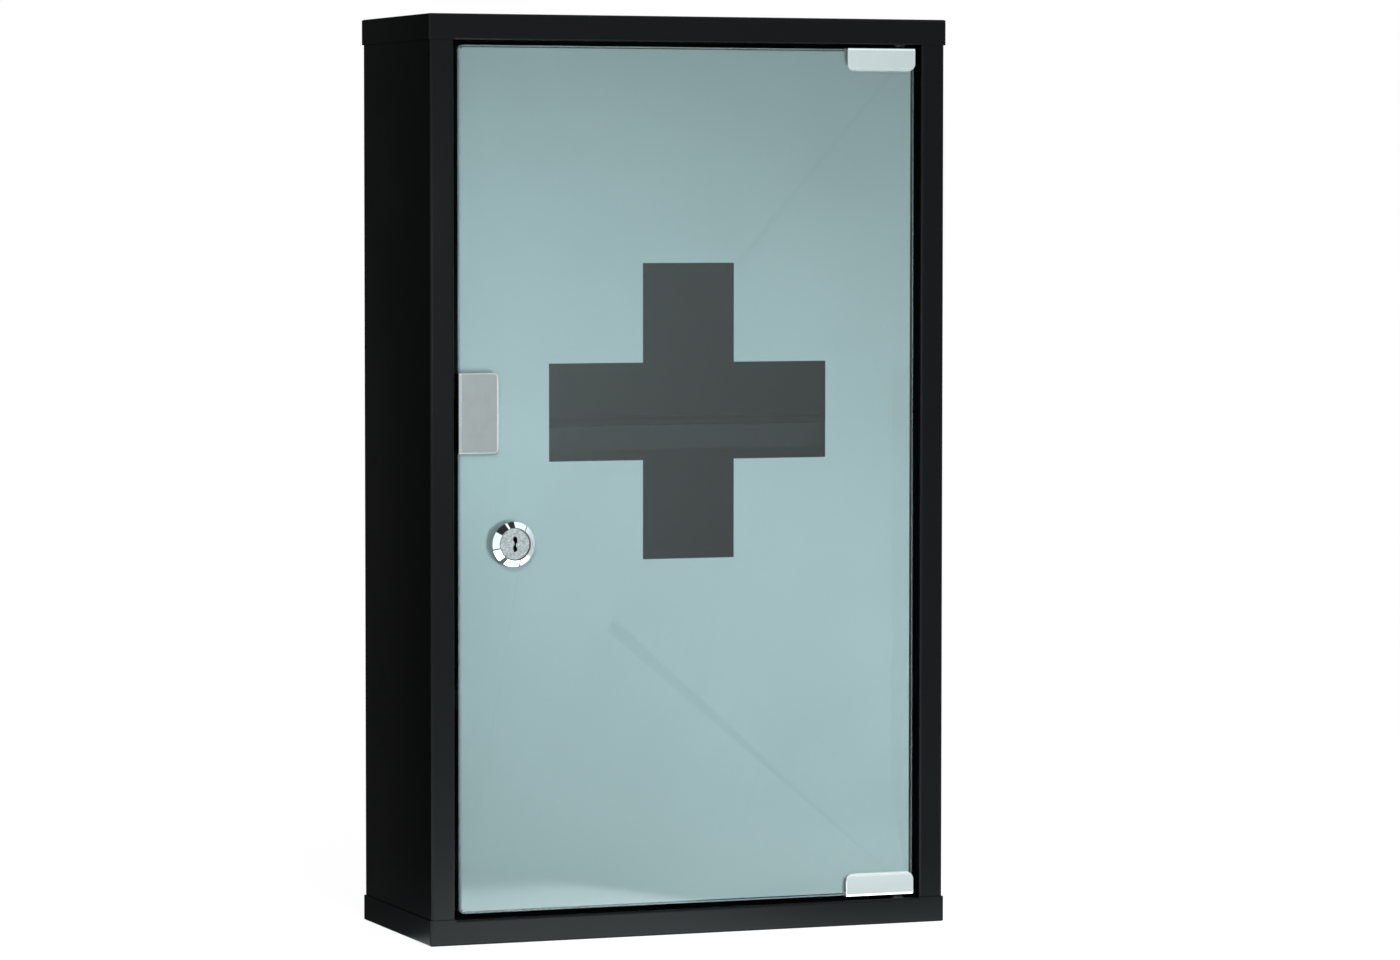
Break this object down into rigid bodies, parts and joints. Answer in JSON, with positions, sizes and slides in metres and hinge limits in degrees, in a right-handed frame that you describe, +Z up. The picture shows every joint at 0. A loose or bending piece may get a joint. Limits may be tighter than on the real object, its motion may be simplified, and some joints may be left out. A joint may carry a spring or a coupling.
{
  "type": "lockable medicine cabinet",
  "caption": "Black steel wall cabinet with fixed shelves and a frosted glass door that turns on pivot clips, with a cross window, a push plate, a touch latch and a cam lock.",
  "frame": {"origin": "on the wall plane, at the middle of the lower edge of the back", "axes": "+X to the right as seen from the front, +Y back towards the wall, so that the door faces -Y, +Z up"},
  "size_m": [0.3, 0.1208, 0.5],
  "materials": {
    "black_paint": "satin powder coat, very fine texture",
    "clear_glass": "polished float glass, ground edges",
    "frost": "frosted coat on the back of the glass",
    "satin_nickel": "satin nickel plate",
    "chrome": "bright chrome plate",
    "plug_metal": "satin nickel plate, turned face",
    "zinc": "bright zinc plate",
    "black_steel": "black oxide on turned steel",
    "black_plastic": "moulded, matt",
    "clear_liner": "translucent soft plastic",
    "rubber": "matt",
    "magnet": "sintered, matt"
  },
  "bodies": {
    "cabinet": {"body_wrap": "black_paint", "top_cap": "black_paint", "bottom_cap": "black_paint", "upper_shelf": "black_paint", "lower_shelf": "black_paint", "pivot_bush_top": "black_plastic", "pivot_bush_bottom": "black_plastic", "latch_housing": "black_plastic", "latch_screws": "zinc", "latch_spring": "zinc"},
    "door": {"door_glass": "clear_glass", "frost_coat": "frost", "hinge_clip_top": "satin_nickel", "hinge_clip_bottom": "satin_nickel", "clip_liner_top": "clear_liner", "clip_liner_bottom": "clear_liner", "pivot_pin_top": "black_steel", "pivot_pin_bottom": "black_steel", "clip_screws": "zinc", "push_plate": "satin_nickel", "push_plate_liner": "clear_liner", "push_plate_screws": "zinc", "lock_barrel": "chrome", "lock_gasket": "black_plastic", "lock_washer": "rubber", "lock_nut": "zinc"},
    "lock_cylinder": {"lock_plug": "plug_metal", "lock_wafers": "zinc", "lock_stop_washer": "zinc", "lock_cam": "zinc", "cam_washer": "zinc", "cam_screw": "zinc"},
    "plunger": {"latch_plunger": "black_plastic", "latch_magnet": "magnet"}
  },
  "joints": [
    {"name": "door_hinge", "type": "hinge", "parent": "cabinet", "child": "door", "pos_m": [0.1235, -0.1153, 0.25], "axis": [0, 0, 1], "range_deg": [0, 140]},
    {"name": "lock_turn", "type": "hinge", "parent": "door", "child": "lock_cylinder", "pos_m": [-0.1018, -0.1173, 0.2156], "axis": [0, 1, 0], "range_deg": [0, 90]},
    {"name": "latch_push", "type": "slide", "parent": "cabinet", "child": "plunger", "axis": [0, 1, 0], "range_m": [0, 0.003], "stiffness_N_per_m": 400, "springref_m": -0.004, "deforming": ["latch_spring"]}
  ]
}
